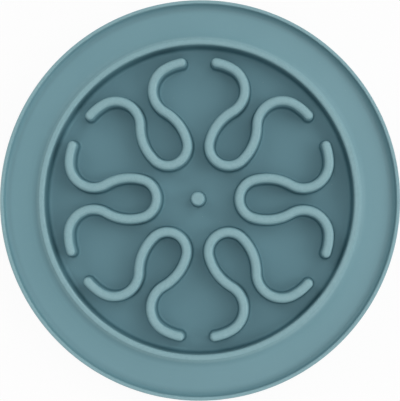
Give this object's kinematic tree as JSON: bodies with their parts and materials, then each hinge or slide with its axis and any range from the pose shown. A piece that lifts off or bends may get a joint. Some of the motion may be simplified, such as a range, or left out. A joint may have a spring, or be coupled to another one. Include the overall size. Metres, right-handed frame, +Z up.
{
  "type": "slow feeder dish",
  "caption": "Low round pet feeding dish with a wide lipped brim and a maze of omega-shaped ridges round a centre post on its sunken floor, standing on rubber foot pads.",
  "frame": {"origin": "on the axis of the dish, in the plane that its foot pads stand on", "axes": "+Z up along the axis of the dish; +X along the middle of one maze ridge, towards its open mouth"},
  "size_m": [0.28, 0.28, 0.0174],
  "materials": {
    "moulding": "satin",
    "foot_rubber": "matte"
  },
  "bodies": {
    "root": {"dish": "moulding", "maze_ridge_1": "moulding", "maze_ridge_2": "moulding", "maze_ridge_3": "moulding", "maze_ridge_4": "moulding", "maze_ridge_5": "moulding", "maze_ridge_6": "moulding", "centre_post": "moulding", "foot_pad_1": "foot_rubber", "foot_pad_2": "foot_rubber", "foot_pad_3": "foot_rubber", "foot_pad_4": "foot_rubber", "foot_pad_5": "foot_rubber", "foot_pad_6": "foot_rubber"}
  },
  "joints": []
}
